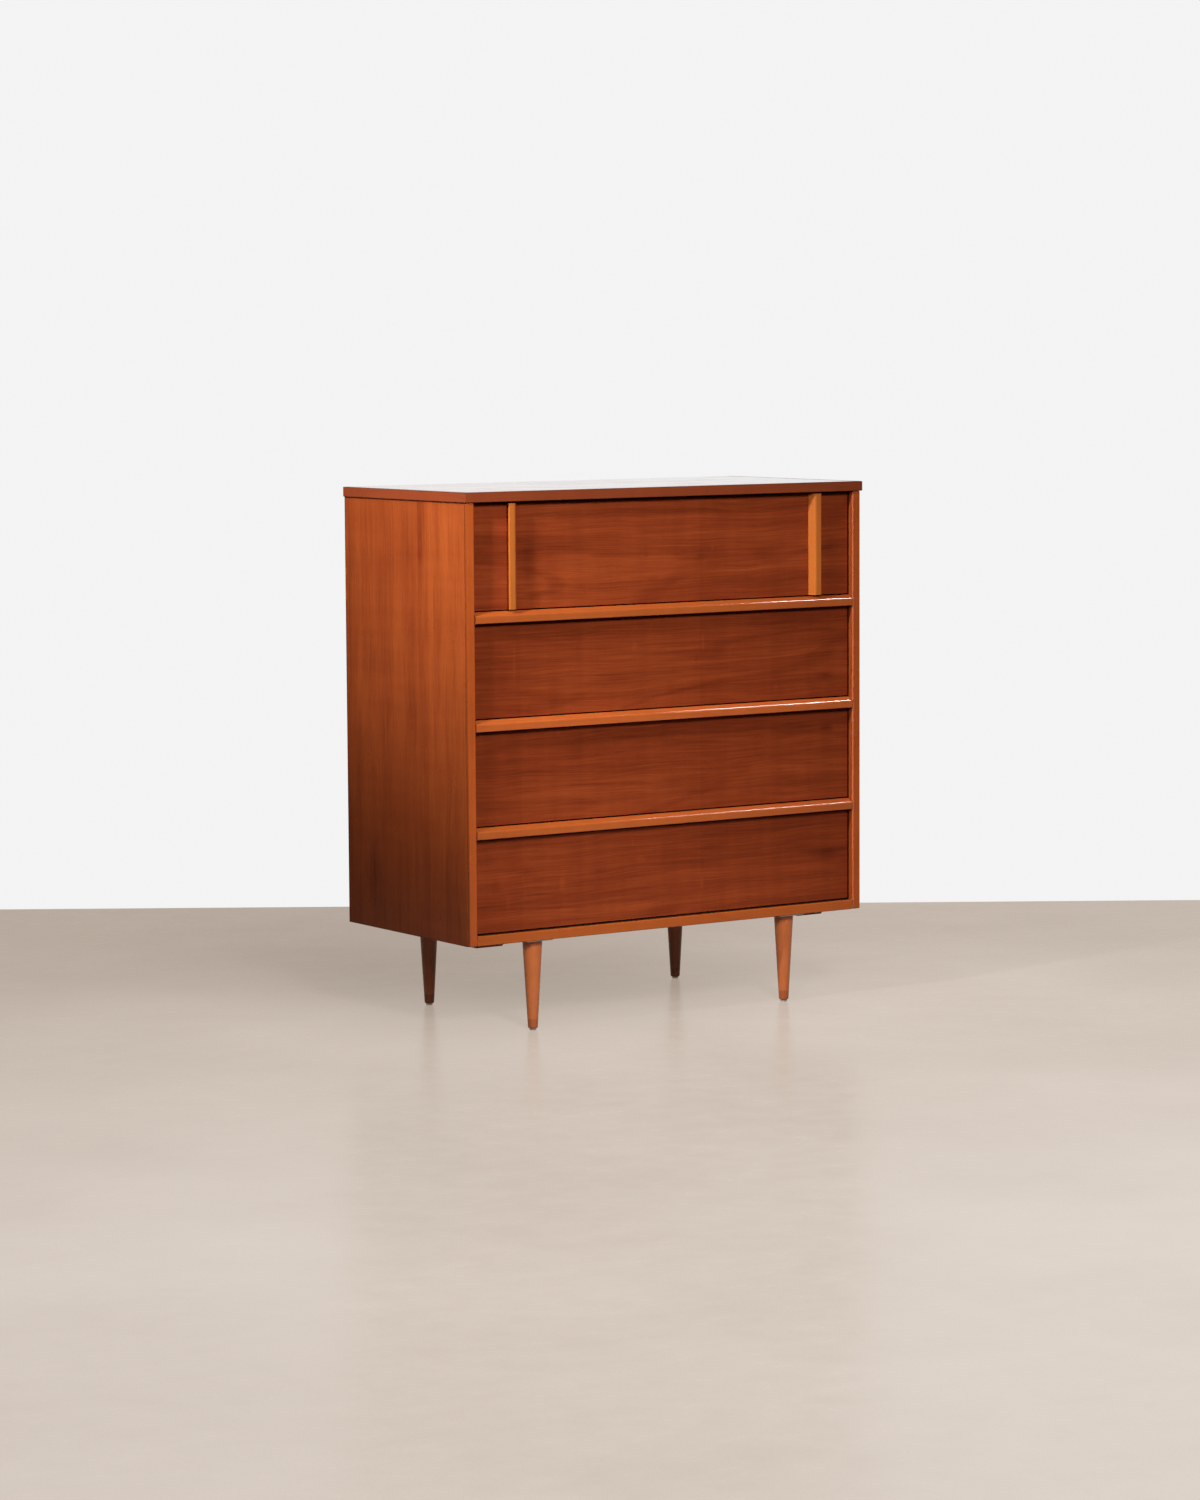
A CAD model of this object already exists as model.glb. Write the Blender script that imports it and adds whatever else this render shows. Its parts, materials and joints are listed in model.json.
# Tallboy: materials, edges, studio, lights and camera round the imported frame.
# Metres and degrees. X runs along the width, -Y is the front and +Z is up.

import json
import math

import bpy
from mathutils import Matrix, Vector

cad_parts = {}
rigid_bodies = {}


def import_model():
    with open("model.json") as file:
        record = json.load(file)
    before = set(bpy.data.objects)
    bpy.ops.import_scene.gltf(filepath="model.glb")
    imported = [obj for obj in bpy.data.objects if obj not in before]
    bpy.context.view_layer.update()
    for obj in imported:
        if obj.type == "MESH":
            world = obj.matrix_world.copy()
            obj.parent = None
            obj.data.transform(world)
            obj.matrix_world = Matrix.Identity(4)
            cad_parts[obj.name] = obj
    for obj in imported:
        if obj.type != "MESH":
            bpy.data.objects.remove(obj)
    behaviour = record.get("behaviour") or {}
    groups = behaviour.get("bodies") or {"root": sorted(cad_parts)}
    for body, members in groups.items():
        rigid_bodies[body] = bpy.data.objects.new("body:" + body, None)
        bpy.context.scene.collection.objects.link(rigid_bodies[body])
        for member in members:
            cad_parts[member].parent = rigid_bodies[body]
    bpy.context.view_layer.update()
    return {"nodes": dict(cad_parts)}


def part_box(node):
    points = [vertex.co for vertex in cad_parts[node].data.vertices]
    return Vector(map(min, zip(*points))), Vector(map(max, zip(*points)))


# Camera, fitted to the corners and straight edges in the photograph
CAMERA_PLACE = (-4.580, -6.762, 1.294)
CAMERA_AZIMUTH = 34.02
CAMERA_PITCH = 5.55
CAMERA_ROLL = -0.345
FOCAL_PIXELS = 4196.5
FRAME_HEIGHT_PIXELS = 1500
SENSOR_MM = 36.0

# Wall: distance from the camera, turn against the camera's view, height, and half widths of its middle and of
# all of it
WALL_DISTANCE = 9.62
WALL_TURN = 0.8
WALL_HEIGHT = 5.0
WALL_MIDDLE = 1.9
WALL_END = 8.0
WALL_PAINT = (0.8, 0.8, 0.8, 1.0)

# Floor: its size, the share of its look that lamps make, its surface, and the colour that it casts back
FLOOR_SIZE = 40.0
FLOOR_LIT = 0.3
FLOOR_IOR = 1.3
FLOOR_RELIEF = 0.05
FLOOR_ROUGH = (0.20, 0.28)
FLOOR_BOUNCE = (0.16, 0.135, 0.115, 1.0)
# How light it is, as a place between its two tones, near and far from the camera, and the rise for each metre
# to the right
FLOOR_NEAR = 5.6
FLOOR_FAR = 9.6
FLOOR_LIGHTNESS = (0.87, 0.12)
FLOOR_SLOPE = 0.12
# How closely its three kinds of mottling repeat, and how strong each is
CLOUD_SCALE = 1.6
CLOUD_SHARE = 0.35
MOTTLE_SCALE = 14.0
MOTTLE_SHARE = 0.2
SPECK_SCALE = 260.0
SPECK_SHARE = 0.2
# The lane of floor ahead of the camera that reflections show bright, and how dim the floor is beside it
LANE_HALF = 1.35
LANE_FADE = 1.1
LANE_DIM = 0.15
# The darker patch under and behind the object: its middle, reach, where its fading starts, and depth
SHADE_MIDDLE = (0.0, 0.55)
SHADE_REACH = (0.85, 1.15)
SHADE_START = 0.1
SHADE_DEPTH = 0.5

# World: the level of its light, how nearly a reflection has to face the wall to show white, and that white
WORLD_LEVEL = 0.03
WORLD_FACING = (0.65, 0.90)
WHITE = (0.90, 0.90, 0.90)

# Wood tones, from the darkest figure to the lightest
FRONT_TONES = ((0.115, 0.0170, 0.0058), (0.248, 0.0395, 0.0108), (0.400, 0.0740, 0.0190))
SIDE_TONES = ((0.160, 0.0250, 0.0074), (0.328, 0.0600, 0.0138), (0.480, 0.1030, 0.0215))
TOP_TONES = ((0.225, 0.0600, 0.0240), (0.335, 0.0920, 0.0350), (0.450, 0.1300, 0.0460))
SOLID_TONES = ((0.340, 0.0660, 0.0130), (0.520, 0.1120, 0.0220), (0.680, 0.1700, 0.0360))
BAND_TONES = ((0.190, 0.0360, 0.0120), (0.295, 0.0580, 0.0195), (0.390, 0.0840, 0.0290))
EDGE_TONES = ((0.330, 0.0560, 0.0110), (0.520, 0.1000, 0.0180), (0.680, 0.1500, 0.0280))
PULL_TONES = ((0.430, 0.1020, 0.0170), (0.600, 0.1600, 0.0270), (0.730, 0.2200, 0.0400))
LEG_TONES = ((0.400, 0.0850, 0.0240), (0.640, 0.1600, 0.0420), (0.760, 0.2200, 0.0620))
INNER_TONES = ((0.430, 0.270, 0.120), (0.560, 0.370, 0.180), (0.660, 0.460, 0.250))
BOARD_TONES = ((0.300, 0.165, 0.070), (0.400, 0.235, 0.105), (0.480, 0.300, 0.145))
FLOOR_TONES = ((0.52, 0.415, 0.335), (0.97, 0.86, 0.76))
FLOOR_SHADE = (0.33, 0.25, 0.19)
HARDBOARD_TONES = ((0.13, 0.062, 0.026), (0.24, 0.125, 0.058))
STEEL_TONES = ((0.36, 0.36, 0.34), (0.62, 0.62, 0.59))

# Hardboard and steel: how closely their specks and clouds repeat, and their surface
HARDBOARD_SPECKS = 900.0
HARDBOARD_CLOUDS = 6.0
HARDBOARD_SPECK_SHARE = 0.6
HARDBOARD_ROUGH = 0.62
HARDBOARD_RELIEF = 0.15
HARDBOARD_BUMP = 0.0005
STEEL_CLOUDS = 160.0
STEEL_ROUGH = (0.28, 0.46)
# The range of a noise's values over which a tone or roughness goes from one end to the other
NOISE_RANGE = (0.3, 0.7)

# Figure of the wood: how closely each kind of noise repeats along and across the grain
BROAD_SCALE = (1.6, 8.0)
STRIPE_SCALE = (1.0, 46.0)
HAIR_SCALE = (8.0, 420.0)
CURL_SCALE = (34.0, 4.0)
RING_SCALE = (0.8, 5.0)
PATCH_SCALE = (2.0, 9.0)
PORE_SCALE = (60.0, 1900.0)
BEND_SCALE = (3.0, 6.6)
RAGGED_SCALE = (22.0, 90.0)
PATCH_RANGE = (0.42, 0.62)
RIPPLE = 0.2
RING_COUNT = 55.0
PORE_RANGE = (0.62, 0.74)
PORE_SHARE = 0.25
PORE_SHADE = 0.35
PORE_DEPTH = 0.8
TONE_STOPS = (0.05, 0.5, 0.95)
BUMP_HEIGHT = 0.001
GLOSS_SCALE = 11.0
GLOSS_RANGE = (0.25, 0.75)
GLOSS_CHANGE = (-0.04, 0.05)
COAT_ROUGH = 0.05
MARK_RAGGED = 0.9
MARK_DEPTH = 0.55

# Dark stain in the gaps and along outer edges: limits by axis, with X from the middle, and how strong
STAIN = (0.014, 0.0042, 0.0020)
STAIN_SOFTNESS = 0.0003
FRONT_STAINS = (
    ((("X", 0.0, 0.4360), ("Y", -0.2018, -0.1855)), 0.95),
    ((("X", 0.4360, 1.0), ("Y", -1.0, -0.1975)), 0.7),
    ((("X", 0.4360, 1.0), ("Y", -0.2018, -0.1975)), 0.95),
)
TOP_GAP_STAIN = ((("Z", 0.9968, 2.0),), 0.7)
RAIL_STAINS = (((("Y", -1.0, -0.1826),), 0.95),)
BOARD_STAINS = (((("Y", -1.0, -0.1700),), 0.95),)
PANEL_STAINS = (
    ((("X", 0.0, 0.4395), ("Y", -0.2040, -0.1800)), 0.95),
    ((("Z", 0.9985, 2.0),), 0.6),
    ((("Y", 0.2180, 1.0), ("X", 0.4560, 1.0)), 0.5),
    ((("Z", -1.0, 0.1765),), 0.5),
)
STRIP_STAINS = (((("X", 0.4553, 1.0),), 0.45),)
BAND_STAINS = (((("Z", 1.0188, 2.0),), 0.5), ((("Z", 0.0, 1.0022),), 0.5))

# The veneer's own flecks and patches: place along and across the grain, half lengths, and how much lighter
FRONT_MARKS = {
    1: (
        (-0.315, 0.085, 0.026, 0.055, -0.32), (-0.295, 0.018, 0.022, 0.022, -0.16),
        (-0.200, 0.098, 0.110, 0.016, 0.16), (-0.215, 0.068, 0.100, 0.020, 0.20),
        (-0.420, 0.110, 0.012, 0.010, -0.16), (-0.045, 0.095, 0.022, 0.008, -0.14),
        (-0.030, 0.045, 0.020, 0.010, -0.14), (0.082, 0.085, 0.018, 0.016, -0.20),
        (0.112, 0.101, 0.007, 0.010, 0.22), (0.229, 0.086, 0.046, 0.024, -0.34),
        (0.389, 0.094, 0.040, 0.030, -0.22), (0.180, 0.118, 0.120, 0.012, 0.12),
    ),
    2: (
        (-0.344, 0.100, 0.005, 0.062, 0.26), (-0.372, 0.090, 0.026, 0.080, -0.16),
        (-0.072, 0.120, 0.009, 0.018, 0.18), (0.088, 0.122, 0.004, 0.028, 0.30),
        (0.073, 0.089, 0.006, 0.016, -0.26), (-0.030, 0.060, 0.150, 0.014, -0.18),
        (0.250, 0.045, 0.150, 0.018, -0.16), (0.380, 0.043, 0.030, 0.012, -0.55),
        (0.294, 0.150, 0.120, 0.030, -0.26), (0.262, 0.024, 0.006, 0.014, 0.22),
    ),
    3: (
        (-0.050, 0.158, 0.420, 0.024, -0.28), (0.300, 0.140, 0.150, 0.022, -0.28),
        (0.387, 0.139, 0.026, 0.010, -0.40), (-0.247, 0.166, 0.006, 0.010, 0.20),
        (-0.065, 0.110, 0.008, 0.024, -0.14), (-0.250, 0.050, 0.140, 0.020, 0.14),
    ),
    4: (
        (-0.319, 0.108, 0.028, 0.018, -0.34), (-0.241, 0.080, 0.009, 0.022, 0.24),
        (-0.152, 0.099, 0.036, 0.010, -0.26), (-0.060, 0.114, 0.018, 0.010, 0.16),
        (0.115, 0.126, 0.055, 0.012, -0.24), (0.084, 0.056, 0.006, 0.024, 0.30),
        (0.374, 0.092, 0.070, 0.018, -0.42), (-0.362, 0.050, 0.006, 0.036, 0.18),
        (-0.390, 0.090, 0.018, 0.028, -0.22), (-0.078, 0.150, 0.006, 0.014, 0.18),
    ),
}
SIDE_MARKS = (
    (0.950, -0.058, 0.150, 0.022, -0.50), (0.600, -0.022, 0.085, 0.026, -0.26),
    (0.755, -0.024, 0.080, 0.018, -0.16), (0.800, 0.034, 0.400, 0.030, 0.18),
    (0.850, -0.130, 0.200, 0.022, 0.16), (0.450, -0.155, 0.160, 0.030, -0.14),
    (0.430, 0.170, 0.160, 0.024, -0.14), (0.248, -0.1315, 0.003, 0.0025, 1.10),
    (0.900, 0.010, 0.100, 0.080, -0.22), (0.620, 0.165, 0.110, 0.050, 0.30),
    (0.290, 0.130, 0.110, 0.045, -0.40), (0.270, -0.150, 0.130, 0.060, -0.34),
    (0.858, 0.2185, 0.010, 0.0045, 3.00), (0.812, 0.2185, 0.014, 0.0040, 3.00),
)
# Leaves of veneer between seams: 0 along or 1 across the grain, start, end, and how much lighter
FRONT_LEAF = (0, -0.330, 0.080, 0.06)
SIDE_LEAF = (1, -1.0, -0.081, 0.12)
FOOT_LEAF = (0, -1.0, 0.022, -0.30)
SEAM_SOFTNESS = 0.0012

# How light each lip is against the rail, and each front against the others
LIP_LEVELS = {2: 0.98, 3: 1.12, 4: 0.96}
FRONT_LEVELS = {1: 1.14, 2: 1.01, 3: 0.96, 4: 1.03}

# Spot lamps: place, target, cone, radius and watts
SPOTS = {
    "key": ((-2.60, -0.80, 2.15), (0.0, -0.10, 0.95), 36.0, 0.12, 330.0),
    "side_back": ((-1.96, 0.25, 1.75), (-0.46, 0.0, 0.97), 34.0, 0.15, 30.0),
    "front": ((-1.50, -3.90, 2.75), (-0.2, -0.1, 0.55), 34.0, 0.45, 560.0),
    "low": ((-1.60, -2.00, 1.00), (0.05, -0.18, 0.12), 26.0, 0.15, 62.0),
}
# Soft boxes: place, target, size and watts
SOFT_BOXES = {
    "right": ((2.1, -2.2, 1.95), (0.1, -0.2, 0.5), (0.35, 0.5), 4.0),
    "behind": ((-0.35, 1.85, 0.60), (-0.1, 0.22, 0.55), (1.2, 0.9), 22.0),
    "far_side": ((2.0, 0.15, 0.60), (0.46, 0.0, 0.55), (0.9, 0.9), 20.0),
}
# The lamps that no reflection shows
UNMIRRORED = ("front", "right", "behind", "far_side")
# The lamps that only reflections show. First the one for the right strip, as the soft boxes above
STRIP_SHEEN = ((-2.10, -1.40, 0.50), (0.0, -0.2, 0.5), (0.60, 1.00), 48.0)
# For each lip, how far right its reflected lamp stands, the lamp's length along the lip, and its watts
LIP_SHEENS = {2: (2.08, 0.22, 15.0), 3: (1.95, 0.44, 42.0), 4: (1.95, 0.44, 50.0)}
# Those lamps' place across the depth, height above the lip and width, and the point that they aim at
LIP_SHEEN_DEPTH = -0.50
LIP_SHEEN_RISE = 2.26
LIP_SHEEN_WIDTH = 0.30
LIP_SHEEN_AIM = (0.25, -0.22)
# The pieces that the lamps behind the object and on its far side light
REAR_PIECES = ("back_panel", "back_nails", "top_panel", "side_panel_right")
FAR_PIECES = ("side_panel_right", "side_edge_right", "top_bands_side")

# Edges: how near points are that get welded, and the angles up to which faces are joined into one and from
# which edges are rounded
WELD_DISTANCE = 0.00002
FLAT_ANGLE = 0.5
BEVEL_ANGLE = 30.0
# How wide the rounding is
SLAB_EDGE = 0.0008
BAND_EDGE = 0.0012
RAIL_EDGE = 0.0020
STRIP_EDGE = 0.0026
PANEL_EDGE = 0.0006
CLEAT_EDGE = 0.0008
BOARD_EDGE = 0.0004
FRONT_EDGE = 0.0007
BOX_EDGE = 0.0005
BOTTOM_EDGE = 0.0003
MOULDING_EDGE = 0.0006

DRAWERS = (1, 2, 3, 4)
CORNERS = ("front_left", "front_right", "back_left", "back_right")


class Graph:
    """The node tree of a material or the world. Outputs of other nodes are linked, other values are set."""

    def __init__(self, owner):
        self.owner = owner
        owner.use_nodes = True
        self.nodes = owner.node_tree.nodes
        self.links = owner.node_tree.links
        self.nodes.clear()

    def add(self, kind, inputs=None, **settings):
        made = self.nodes.new(kind)
        for name, value in settings.items():
            setattr(made, name, value)
        for key, value in (inputs or {}).items():
            self.put(made.inputs[key], value)
        return made

    def put(self, socket, value):
        if isinstance(value, bpy.types.NodeSocket):
            self.links.new(value, socket)
        else:
            socket.default_value = value

    def math(self, operation, a, b=0.0, c=0.0):
        return self.add("ShaderNodeMath", {0: a, 1: b, 2: c}, operation=operation).outputs[0]

    def times(self, a, b):
        return self.math("MULTIPLY", a, b)

    def plus(self, a, b):
        return self.math("ADD", a, b)

    def minus(self, a, b):
        return self.math("SUBTRACT", a, b)

    def mix(self, share, a, b):
        return self.add("ShaderNodeMix", {0: share, 6: a, 7: b}, data_type="RGBA").outputs[2]

    def blend(self, share, a, b):
        """Mixes two shaders."""
        return self.add("ShaderNodeMixShader", {0: share, 1: a, 2: b}).outputs[0]

    def apart(self, x, y):
        """The distance from the origin to a point of the plane."""
        return self.math("SQRT", self.plus(self.times(x, x), self.times(y, y)))

    def split(self, vector):
        return self.add("ShaderNodeSeparateXYZ", {0: vector}).outputs

    def join(self, x, y, z):
        return self.add("ShaderNodeCombineXYZ", {0: x, 1: y, 2: z}).outputs[0]

    def noise(self, where, scale, detail=3.0, roughness=0.5, warp=0.0):
        inputs = {
            "Vector": where, "Scale": scale, "Detail": detail, "Roughness": roughness, "Distortion": warp,
        }
        return self.add("ShaderNodeTexNoise", inputs).outputs[0]

    def spread(self, value, low, high, to_low=0.0, to_high=1.0):
        """Maps low..high to to_low..to_high with a smooth start and end."""
        inputs = {"Value": value, "From Min": low, "From Max": high, "To Min": to_low, "To Max": to_high}
        return self.add("ShaderNodeMapRange", inputs, interpolation_type="SMOOTHSTEP").outputs[0]

    def bump(self, height, strength, distance):
        inputs = {"Strength": strength, "Distance": distance, "Height": height}
        return self.add("ShaderNodeBump", inputs).outputs[0]

    def ramp(self, value, places, colors):
        made = self.add("ShaderNodeValToRGB", {0: value})
        elements = made.color_ramp.elements
        while len(elements) < len(colors):
            elements.new(0.5)
        for element, place, color in zip(elements, places, colors):
            element.position = place
            element.color = (*color, 1.0)
        return made.outputs[0]

    def place(self):
        """The point's place on the object at rest, in metres."""
        return self.add("ShaderNodeTexCoord").outputs["Object"]

    def finish(self, surface):
        self.add("ShaderNodeOutputMaterial", {"Surface": surface})
        return self.owner


def material_graph(name):
    return Graph(bpy.data.materials.new(name))


def clear_scene():
    for thing in list(bpy.data.objects):
        bpy.data.objects.remove(thing)


# Wood

def grain_place(graph, order, seed, low):
    """The point's place with its axes in the given order: along the grain, across it, into the board."""
    axes = dict(zip("XYZ", graph.split(graph.place())))
    axes["Z"] = graph.minus(axes["Z"], low)
    return graph.join(axes[order[0]], axes[order[1]], graph.plus(axes[order[2]], seed))


def figure(graph, where, scale, **settings):
    """Noise that changes along the grain as fast as the first number says, and across it as the second."""
    inputs = {"Vector": where, "Scale": (scale[0], scale[1], scale[1])}
    stretched = graph.add("ShaderNodeMapping", inputs).outputs[0]
    return graph.noise(stretched, 1.0, **settings)


def meander(graph, where, size):
    """Moves points across the grain, so that the grain bends slowly."""
    wave = figure(graph, where, BEND_SCALE, detail=2.0)
    axes = graph.split(where)
    shift = graph.times(graph.minus(wave, 0.5), size)
    return graph.join(axes[0], graph.plus(axes[1], shift), axes[2])


def add_noise(graph, value, noise, amount):
    return graph.math("MULTIPLY_ADD", graph.minus(noise, 0.5), amount, value)


def add_marks(graph, value, where, marks):
    """Adds darker and lighter patches with ragged edges."""
    axes = graph.split(where)
    ragged = graph.minus(figure(graph, where, RAGGED_SCALE), 0.5)
    for along, across, half_along, half_across, change in marks:
        x = graph.math("DIVIDE", graph.minus(axes[0], along), half_along)
        y = graph.math("DIVIDE", graph.minus(axes[1], across), half_across)
        away = graph.math("MULTIPLY_ADD", ragged, MARK_RAGGED, graph.apart(x, y))
        value = graph.plus(value, graph.spread(away, 0.0, 1.0, MARK_DEPTH * change, 0.0))
    return value


def add_leaf(graph, value, where, leaf):
    """Changes the tone between two seams."""
    axis, start, end, change = leaf
    place = graph.split(where)[axis]
    after = graph.spread(place, start - SEAM_SOFTNESS, start + SEAM_SOFTNESS)
    before = graph.spread(place, end - SEAM_SOFTNESS, end + SEAM_SOFTNESS, 1.0, 0.0)
    return graph.math("MULTIPLY_ADD", graph.times(after, before), change, value)


def add_stains(graph, color, stains):
    """Darkens the colour inside plain boxes, such as the gap behind the face of a drawer front."""
    axes = dict(zip("XYZ", graph.split(graph.place())))
    axes["X"] = graph.math("ABSOLUTE", axes["X"])
    for limits, strength in stains:
        share = strength
        for axis, start, end in limits:
            after = graph.spread(axes[axis], start - STAIN_SOFTNESS, start + STAIN_SOFTNESS)
            before = graph.spread(axes[axis], end - STAIN_SOFTNESS, end + STAIN_SOFTNESS, 1.0, 0.0)
            share = graph.times(graph.times(after, before), share)
        color = graph.mix(share, color, (*STAIN, 1.0))
    return color


def wood(name, order, tones, seed, low=0.0, bend=0.03, cloud=0.45, streak=0.6, fine=0.6, ring=0.12,
         relief=0.03, rough=0.30, shine=0.10, coat=0.0, marks=(), leaf=None, stains=()):
    """Lacquered wood, with clouds, streaks, hair lines, growth lines and ripples in its figure. The seed only
    tells which part of the endless figure is used."""
    graph = material_graph(name)
    straight = grain_place(graph, order, seed, low)
    where = meander(graph, straight, bend)
    broad = figure(graph, where, BROAD_SCALE, warp=0.3)
    stripe = figure(graph, where, STRIPE_SCALE, detail=4.0, roughness=0.55)
    hair = figure(graph, where, HAIR_SCALE, roughness=0.6)
    curl = figure(graph, where, CURL_SCALE, detail=2.0)
    field = figure(graph, where, RING_SCALE, detail=2.0, warp=0.2)
    line = graph.math("SINE", graph.times(field, RING_COUNT))
    patchy = graph.spread(figure(graph, where, PATCH_SCALE, detail=2.0), *PATCH_RANGE)
    value = add_noise(graph, 0.5, broad, cloud)
    value = add_noise(graph, value, stripe, streak)
    value = add_noise(graph, value, hair, fine)
    value = add_noise(graph, value, curl, RIPPLE)
    value = graph.minus(value, graph.times(graph.spread(line, 0.5, 1.0, 0.0, ring), patchy))
    value = add_marks(graph, value, straight, marks)
    if leaf:
        value = add_leaf(graph, value, straight, leaf)
    color = graph.ramp(value, TONE_STOPS, tones)
    pore = graph.spread(figure(graph, where, PORE_SCALE, detail=1.0), *PORE_RANGE, 0.0, PORE_SHARE)
    color = graph.mix(pore, color, (*toned(tones, PORE_SHADE)[0], 1.0))
    color = add_stains(graph, color, stains)
    normal = graph.bump(graph.minus(hair, graph.times(pore, PORE_DEPTH)), relief, BUMP_HEIGHT)
    gloss = graph.noise(graph.place(), GLOSS_SCALE, detail=4.0)
    sheen = graph.spread(gloss, *GLOSS_RANGE, rough + GLOSS_CHANGE[0], rough + GLOSS_CHANGE[1])
    surface = graph.add("ShaderNodeBsdfPrincipled", {
        "Base Color": color, "Roughness": sheen, "Normal": normal, "Specular IOR Level": shine,
        "Coat Weight": coat, "Coat Roughness": COAT_ROUGH,
    })
    return graph.finish(surface.outputs[0])


def hardboard():
    graph = material_graph("hardboard")
    speck = graph.noise(graph.place(), HARDBOARD_SPECKS)
    cloud = graph.noise(graph.place(), HARDBOARD_CLOUDS)
    value = graph.times(speck, HARDBOARD_SPECK_SHARE)
    value = graph.math("MULTIPLY_ADD", cloud, 1 - HARDBOARD_SPECK_SHARE, value)
    inputs = {
        "Base Color": graph.ramp(value, NOISE_RANGE, HARDBOARD_TONES), "Roughness": HARDBOARD_ROUGH,
        "Normal": graph.bump(speck, HARDBOARD_RELIEF, HARDBOARD_BUMP),
    }
    return graph.finish(graph.add("ShaderNodeBsdfPrincipled", inputs).outputs[0])


def steel():
    graph = material_graph("zinc_steel")
    cloud = graph.noise(graph.place(), STEEL_CLOUDS, detail=4.0)
    inputs = {
        "Base Color": graph.ramp(cloud, NOISE_RANGE, STEEL_TONES),
        "Roughness": graph.spread(cloud, *NOISE_RANGE, *STEEL_ROUGH), "Metallic": 1.0,
    }
    return graph.finish(graph.add("ShaderNodeBsdfPrincipled", inputs).outputs[0])


# Edges

def soften(piece, width, segments):
    """Welds the faces' shared points, joins flat faces and rounds the edges, all as modifiers."""
    weld = piece.modifiers.new("weld", "WELD")
    weld.merge_threshold = WELD_DISTANCE
    flat = piece.modifiers.new("flat", "DECIMATE")
    flat.decimate_type = "DISSOLVE"
    flat.angle_limit = math.radians(FLAT_ANGLE)
    bevel = piece.modifiers.new("bevel", "BEVEL")
    bevel.width = width
    bevel.segments = segments
    bevel.limit_method = "ANGLE"
    bevel.angle_limit = math.radians(BEVEL_ANGLE)
    bevel.harden_normals = True
    bevel.use_clamp_overlap = True


def wear(nodes, names, material, width=0.0, segments=2):
    """Gives the named pieces a material, and edges rounded to the given width."""
    for name in names:
        piece = nodes[name]
        piece.material_slots[0].material = material
        if width:
            soften(piece, width, segments)


def toned(tones, level):
    """The same tones, all lighter or darker."""
    return [[level * channel for channel in tone] for tone in tones]


def plain_wood(name, order, tones, seed, **settings):
    """Straight solid wood with little figure."""
    return wood(name, order, tones, seed, bend=0.01, streak=0.3, fine=0.3, ring=0.08, **settings)


def dress_case(nodes, metal, thin_board, inner_y):
    side = wood("veneer_side", "ZYX", SIDE_TONES, 1.7, fine=0.8, ring=0.05, marks=SIDE_MARKS, leaf=SIDE_LEAF,
                stains=PANEL_STAINS)
    top = wood("veneer_top", "XYZ", TOP_TONES, 2.9, rough=0.09, shine=0.5, coat=0.5)
    band_x = plain_wood("band_lengthwise", "XZY", BAND_TONES, 4.3, stains=BAND_STAINS)
    band_y = plain_wood("band_depthwise", "YZX", BAND_TONES, 6.1, stains=BAND_STAINS)
    rail = plain_wood("rail_lengthwise", "XZY", SOLID_TONES, 3.3, rough=0.22, shine=0.15)
    strip = plain_wood("strip_upright", "ZXY", EDGE_TONES, 7.7, shine=0.3, stains=STRIP_STAINS)
    cleat = plain_wood("cleat_depthwise", "YZX", SOLID_TONES, 5.3)
    leg = wood("turned_wood", "ZXY", LEG_TONES, 9.1, bend=0.01, ring=0.1, rough=0.34, shine=0.5,
               leaf=FOOT_LEAF)
    board = wood("plywood", "XYZ", BOARD_TONES, 17.1, rough=0.6, shine=0.3, stains=BOARD_STAINS)
    inner_rail = wood("rail_hidden", "XZY", INNER_TONES, 19.7, rough=0.55, stains=RAIL_STAINS)

    wear(nodes, ["top_panel"], top, SLAB_EDGE)
    wear(nodes, ["top_band_front"], band_x, BAND_EDGE)
    wear(nodes, ["top_bands_side"], band_y, BAND_EDGE)
    wear(nodes, ["bottom_edge"], rail, RAIL_EDGE, segments=3)
    wear(nodes, ["side_panel_left", "side_panel_right"], side, PANEL_EDGE)
    wear(nodes, ["side_edge_left", "side_edge_right"], strip, STRIP_EDGE, segments=3)
    wear(nodes, ["base_cleat_left", "base_cleat_right"], cleat, CLEAT_EDGE)
    wear(nodes, [f"leg_{corner}" for corner in CORNERS], leg)
    wear(nodes, ["bottom_panel"], board, BOARD_EDGE)
    wear(nodes, ["back_panel"], thin_board, BOARD_EDGE)
    wear(nodes, ["frame_rails", "case_dowels"], inner_rail)
    wear(nodes, ["frame_runners", "bottom_runners", "centre_guides"], inner_y)
    wear(nodes, ["leg_plates", "hanger_bolts", "leg_glides"], metal)
    wear(nodes, ["base_screws", "top_screws", "back_nails"], metal)


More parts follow.
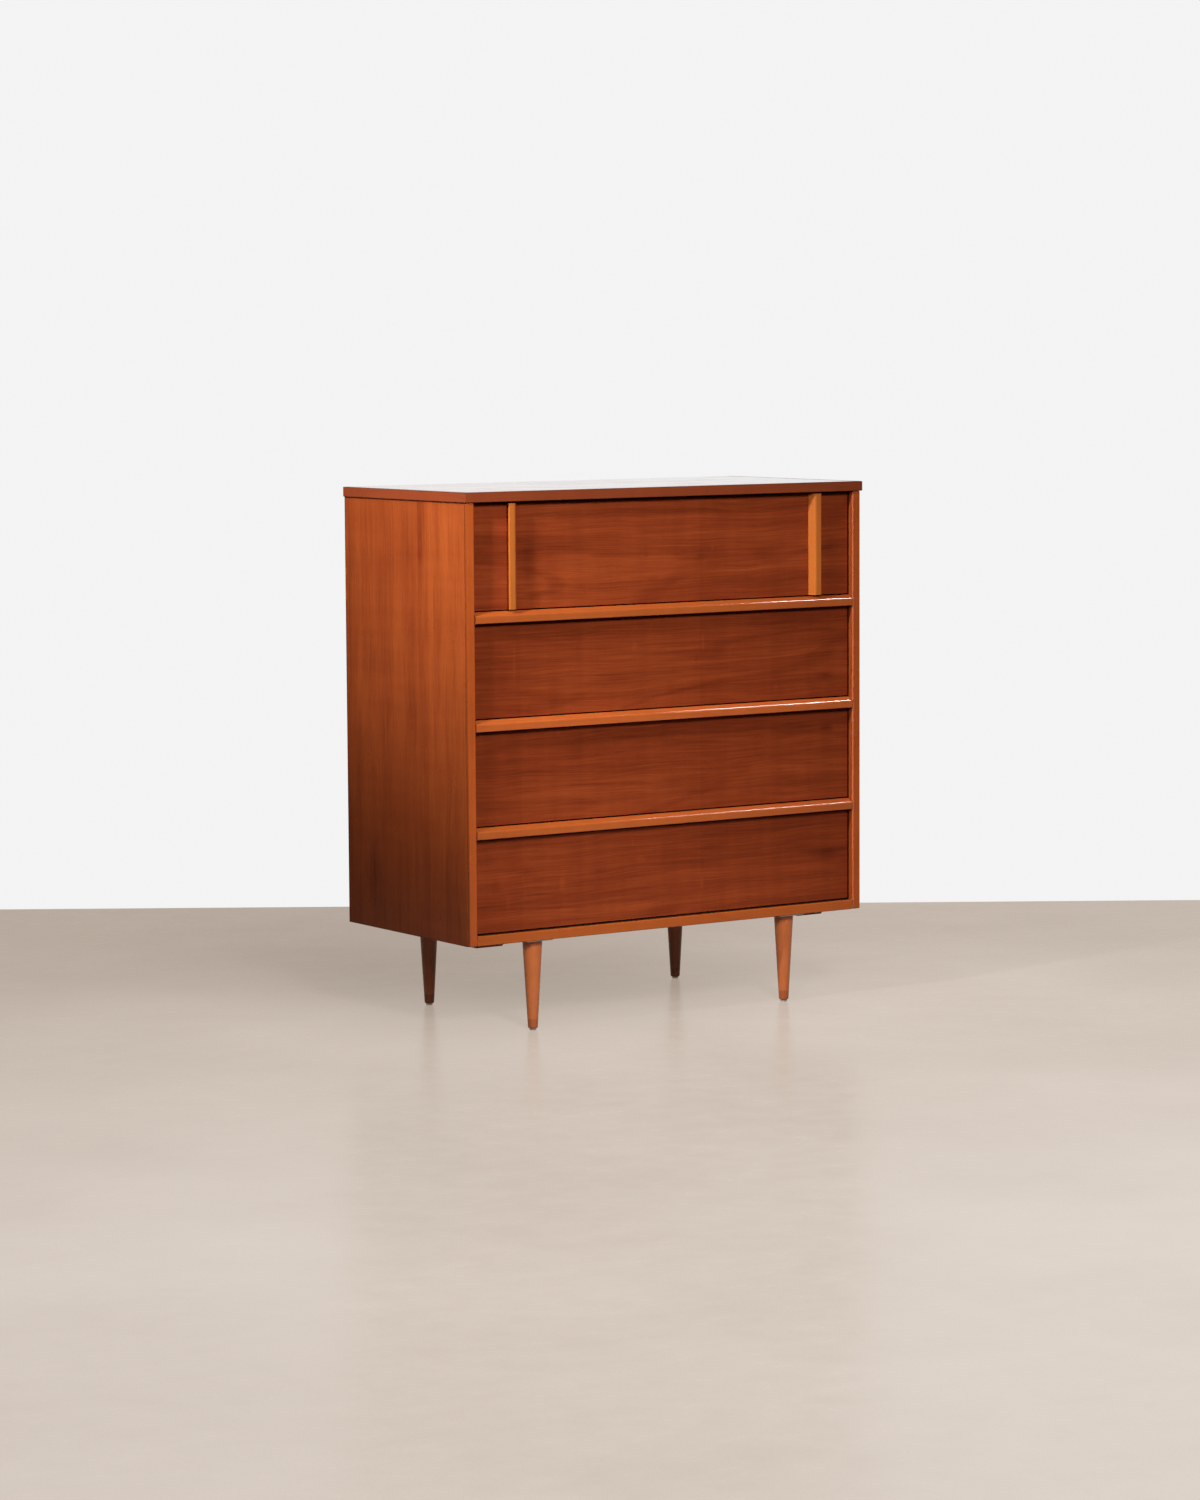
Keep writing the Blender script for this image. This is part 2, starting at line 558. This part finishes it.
def dress_drawer(nodes, k, metal, thin_board, inner_x, inner_y):
    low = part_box(f"drawer_{k}_front")[0][2]
    stains = FRONT_STAINS + ((TOP_GAP_STAIN,) if k == 1 else ())
    front = wood(f"veneer_front_{k}", "XZY", toned(FRONT_TONES, FRONT_LEVELS[k]), 0.035 * k, low,
                 cloud=0.55, streak=0.75, fine=0.8, marks=FRONT_MARKS[k], leaf=FRONT_LEAF, stains=stains)
    box_sides = [f"drawer_{k}_side_left", f"drawer_{k}_side_right", f"drawer_{k}_channel"]
    wear(nodes, [f"drawer_{k}_front"], front, FRONT_EDGE)
    wear(nodes, box_sides, inner_y, BOX_EDGE)
    wear(nodes, [f"drawer_{k}_back"], inner_x, BOX_EDGE)
    wear(nodes, [f"drawer_{k}_bottom"], thin_board, BOTTOM_EDGE)
    wear(nodes, [f"drawer_{k}_fixings"], metal)
    if k == 1:
        pull = plain_wood("pull_upright", "ZXY", PULL_TONES, 8.3, relief=0.01, rough=0.2, shine=0.5)
        wear(nodes, ["drawer_1_pull_left", "drawer_1_pull_right"], pull, MOULDING_EDGE)
    else:
        tones = toned(SOLID_TONES, LIP_LEVELS[k])
        lip = plain_wood(f"lip_{k}", "XZY", tones, 0.31 * k, relief=0.004, rough=0.13, shine=0.5)
        wear(nodes, [f"drawer_{k}_lip"], lip, MOULDING_EDGE)


def dress(nodes):
    """Gives each CAD node its material and its softened edges."""
    metal = steel()
    thin_board = hardboard()
    inner_x = wood("inner_lengthwise", "XZY", INNER_TONES, 11.3, rough=0.55)
    inner_y = wood("inner_depthwise", "YZX", INNER_TONES, 13.9, rough=0.55)
    dress_case(nodes, metal, thin_board, inner_y)
    for k in DRAWERS:
        dress_drawer(nodes, k, metal, thin_board, inner_x, inner_y)


# Studio

def plane(name, corners):
    mesh = bpy.data.meshes.new(name)
    mesh.from_pydata(corners, [], [(0, 1, 2, 3)])
    piece = bpy.data.objects.new(name, mesh)
    bpy.context.collection.objects.link(piece)
    return piece


def camera_view():
    """The camera's place and turn, from its azimuth, pitch and roll."""
    turn = Matrix.Rotation(math.radians(-CAMERA_AZIMUTH), 4, "Z")
    tilt = Matrix.Rotation(math.radians(90.0 - CAMERA_PITCH), 4, "X")
    roll = Matrix.Rotation(math.radians(CAMERA_ROLL), 4, "Z")
    return Matrix.Translation(CAMERA_PLACE) @ turn @ tilt @ roll


def add_camera():
    data = bpy.data.cameras.new("camera")
    data.sensor_width = SENSOR_MM
    data.lens = SENSOR_MM * FOCAL_PIXELS / FRAME_HEIGHT_PIXELS
    camera = bpy.data.objects.new("camera", data)
    camera.matrix_world = camera_view()
    bpy.context.collection.objects.link(camera)
    bpy.context.scene.camera = camera


def seen_rays(graph):
    """One for the camera's own rays and those of reflections and glass, and zero for all other light."""
    path = graph.add("ShaderNodeLightPath").outputs
    seen = graph.math("MAXIMUM", path["Is Camera Ray"], path["Is Glossy Ray"])
    return graph.math("MAXIMUM", seen, path["Is Transmission Ray"])


def wall_material():
    """White on its front, and nothing from behind, so that it never stands before the object."""
    graph = material_graph("wall")
    paint = graph.add("ShaderNodeBsdfDiffuse", {"Color": WALL_PAINT}).outputs[0]
    glow = graph.add("ShaderNodeEmission", {"Color": (*WHITE, 1.0)}).outputs[0]
    front = graph.blend(seen_rays(graph), paint, glow)
    back = graph.add("ShaderNodeBsdfTransparent").outputs[0]
    behind = graph.add("ShaderNodeNewGeometry").outputs["Backfacing"]
    return graph.finish(graph.blend(behind, front, back))


def wall_ahead():
    """The level direction from the camera's foot to the wall."""
    return Matrix.Rotation(math.radians(-CAMERA_AZIMUTH), 4, "Z") @ Vector((0.0, 1.0, 0.0))


def add_wall():
    """Stands across the camera's view and faces it. Only its middle shows in reflections."""
    turn = Matrix.Rotation(math.radians(-CAMERA_AZIMUTH + WALL_TURN), 4, "Z")
    ahead = WALL_DISTANCE * wall_ahead()
    foot = Vector((CAMERA_PLACE[0] + ahead.x, CAMERA_PLACE[1] + ahead.y, 0.0))
    rise = Vector((0.0, 0.0, WALL_HEIGHT))
    material = wall_material()
    spans = {
        "wall_left": (-WALL_END, -WALL_MIDDLE), "wall_middle": (-WALL_MIDDLE, WALL_MIDDLE),
        "wall_right": (WALL_MIDDLE, WALL_END),
    }
    for name, (start, end) in spans.items():
        left = foot + turn @ Vector((start, 0.0, 0.0))
        right = foot + turn @ Vector((end, 0.0, 0.0))
        part = plane(name, [left, right, right + rise, left + rise])
        part.data.materials.append(material)
        part.visible_glossy = name == "wall_middle"


def floor_place(graph):
    """The point's distance from the camera's foot, ahead of it and to its right."""
    ahead = wall_ahead()
    ends = {0: graph.place(), 1: CAMERA_PLACE}
    here = graph.add("ShaderNodeVectorMath", ends, operation="SUBTRACT").outputs[0]
    spans = []
    for direction in ((ahead.x, ahead.y, 0.0), (ahead.y, -ahead.x, 0.0)):
        inputs = {0: here, 1: direction}
        spans.append(graph.add("ShaderNodeVectorMath", inputs, operation="DOT_PRODUCT").outputs["Value"])
    return spans


def shade_under(graph, where, color):
    """Darkens the floor under and behind the object."""
    around = graph.split(where)
    across = graph.math("DIVIDE", graph.minus(around[0], SHADE_MIDDLE[0]), SHADE_REACH[0])
    behind = graph.math("DIVIDE", graph.minus(around[1], SHADE_MIDDLE[1]), SHADE_REACH[1])
    share = graph.spread(graph.apart(across, behind), SHADE_START, 1.0, SHADE_DEPTH, 0.0)
    return graph.mix(share, color, (*FLOOR_SHADE, 1.0))


def floor_material():
    """Pale, slightly glossy floor, mottled at several sizes, darker near the wall and to the left.
    Reflections show it dim beside the lane that the camera sees, and it bounces little light back."""
    graph = material_graph("floor")
    where = graph.place()
    ahead, right = floor_place(graph)
    cloud = graph.noise(where, CLOUD_SCALE, detail=4.0, roughness=0.55)
    patch = graph.noise(where, MOTTLE_SCALE, detail=5.0, roughness=0.6)
    speck = graph.noise(where, SPECK_SCALE, roughness=0.6)
    value = graph.spread(ahead, FLOOR_NEAR, FLOOR_FAR, *FLOOR_LIGHTNESS)
    value = graph.math("MULTIPLY_ADD", right, FLOOR_SLOPE, value)
    value = add_noise(graph, value, cloud, CLOUD_SHARE)
    value = add_noise(graph, value, patch, MOTTLE_SHARE)
    value = add_noise(graph, value, speck, SPECK_SHARE)
    color = shade_under(graph, where, graph.ramp(value, (0.0, 1.0), FLOOR_TONES))
    beside = graph.math("ABSOLUTE", right)
    lane = graph.spread(beside, LANE_HALF, LANE_HALF + LANE_FADE, 1.0, LANE_DIM)
    lane = graph.math("MAXIMUM", lane, graph.add("ShaderNodeLightPath").outputs["Is Camera Ray"])
    normal = graph.bump(speck, FLOOR_RELIEF, BUMP_HEIGHT)
    rough = graph.spread(patch, *NOISE_RANGE, *FLOOR_ROUGH)
    inputs = {"Base Color": color, "Roughness": rough, "Normal": normal, "IOR": FLOOR_IOR}
    lit = graph.add("ShaderNodeBsdfPrincipled", inputs).outputs[0]
    glow = graph.add("ShaderNodeEmission", {"Color": color, "Strength": lane}).outputs[0]
    pale = graph.blend(FLOOR_LIT, glow, lit)
    dull = graph.add("ShaderNodeBsdfDiffuse", {"Color": FLOOR_BOUNCE}).outputs[0]
    return graph.finish(graph.blend(seen_rays(graph), dull, pale))


def add_floor():
    half = FLOOR_SIZE / 2
    corners = [(-half, -half, 0.0), (half, -half, 0.0), (half, half, 0.0), (-half, half, 0.0)]
    plane("floor", corners).data.materials.append(floor_material())


def add_world():
    """Soft light from all round. It is seen as white, in reflections only on the wall's side."""
    world = bpy.data.worlds.new("world")
    graph = Graph(world)
    path = graph.add("ShaderNodeLightPath").outputs
    directions = {0: graph.add("ShaderNodeTexCoord").outputs["Generated"], 1: wall_ahead()}
    facing = graph.add("ShaderNodeVectorMath", directions, operation="DOT_PRODUCT").outputs["Value"]
    mirrored = graph.times(path["Is Glossy Ray"], graph.spread(facing, *WORLD_FACING))
    seen = graph.math("MAXIMUM", path["Is Camera Ray"], path["Is Transmission Ray"])
    level = {"Color": (1.0, 1.0, 1.0, 1.0), "Strength": WORLD_LEVEL}
    soft = graph.add("ShaderNodeBackground", level).outputs[0]
    white = graph.add("ShaderNodeBackground", {"Color": (*WHITE, 1.0)}).outputs[0]
    surface = graph.blend(graph.math("MAXIMUM", seen, mirrored), soft, white)
    graph.add("ShaderNodeOutputWorld", {"Surface": surface})
    bpy.context.scene.world = world


def aim(place, target):
    return (Vector(target) - Vector(place)).to_track_quat("-Z", "Y").to_euler()


def add_lamp(data, place, target, watts):
    data.energy = watts
    lamp = bpy.data.objects.new(data.name, data)
    lamp.location = place
    lamp.rotation_euler = aim(place, target)
    bpy.context.collection.objects.link(lamp)


def soft_box(name, place, target, size, watts):
    data = bpy.data.lights.new(name, "AREA")
    data.shape = "RECTANGLE"
    data.size = size[0]
    data.size_y = size[1]
    add_lamp(data, place, target, watts)


def light_only(name, pieces):
    """Keeps a lamp's light to the given pieces."""
    lit = bpy.data.collections.new(f"{name}_lights")
    for piece in pieces:
        lit.objects.link(piece)
    bpy.data.objects[name].light_linking.receiver_collection = lit


def sheen_box(name, place, target, size, watts, pieces):
    """A soft light that shows only in the lacquer's reflections on some pieces."""
    soft_box(name, place, target, size, watts)
    bpy.data.objects[name].visible_diffuse = False
    light_only(name, pieces)


def spot(name, place, target, cone, radius, watts):
    data = bpy.data.lights.new(name, "SPOT")
    data.spot_size = math.radians(cone)
    data.spot_blend = 1.0
    data.shadow_soft_size = radius
    add_lamp(data, place, target, watts)


def add_lights(nodes):
    """A key from the far left, a weak side light, a soft light and a low one from the front left, a weak one
    from the right, two for the sides that face away, and the ones that show only in reflections: one high on
    the right for each lip, and one on the left."""
    for name, settings in SPOTS.items():
        spot(name, *settings)
    for name, settings in SOFT_BOXES.items():
        soft_box(name, *settings)
    light_only("behind", [nodes[name] for name in REAR_PIECES])
    light_only("far_side", [nodes[name] for name in FAR_PIECES])
    for name in UNMIRRORED:
        bpy.data.objects[name].visible_glossy = False
    for k, (right, length, watts) in LIP_SHEENS.items():
        lip = nodes[f"drawer_{k}_lip"]
        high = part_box(f"drawer_{k}_lip")[1][2]
        place = (right, LIP_SHEEN_DEPTH, high + LIP_SHEEN_RISE)
        sheen_box(f"sheen_{k}", place, (*LIP_SHEEN_AIM, high), (LIP_SHEEN_WIDTH, length), watts, [lip])
    sheen_box("sheen_left", *STRIP_SHEEN, [nodes["side_edge_right"]])


clear_scene()
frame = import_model()

add_camera()
add_wall()
add_floor()
add_world()
add_lights(frame["nodes"])
dress(frame["nodes"])

bpy.context.scene.view_settings.view_transform = "Standard"
bpy.context.view_layer.update()
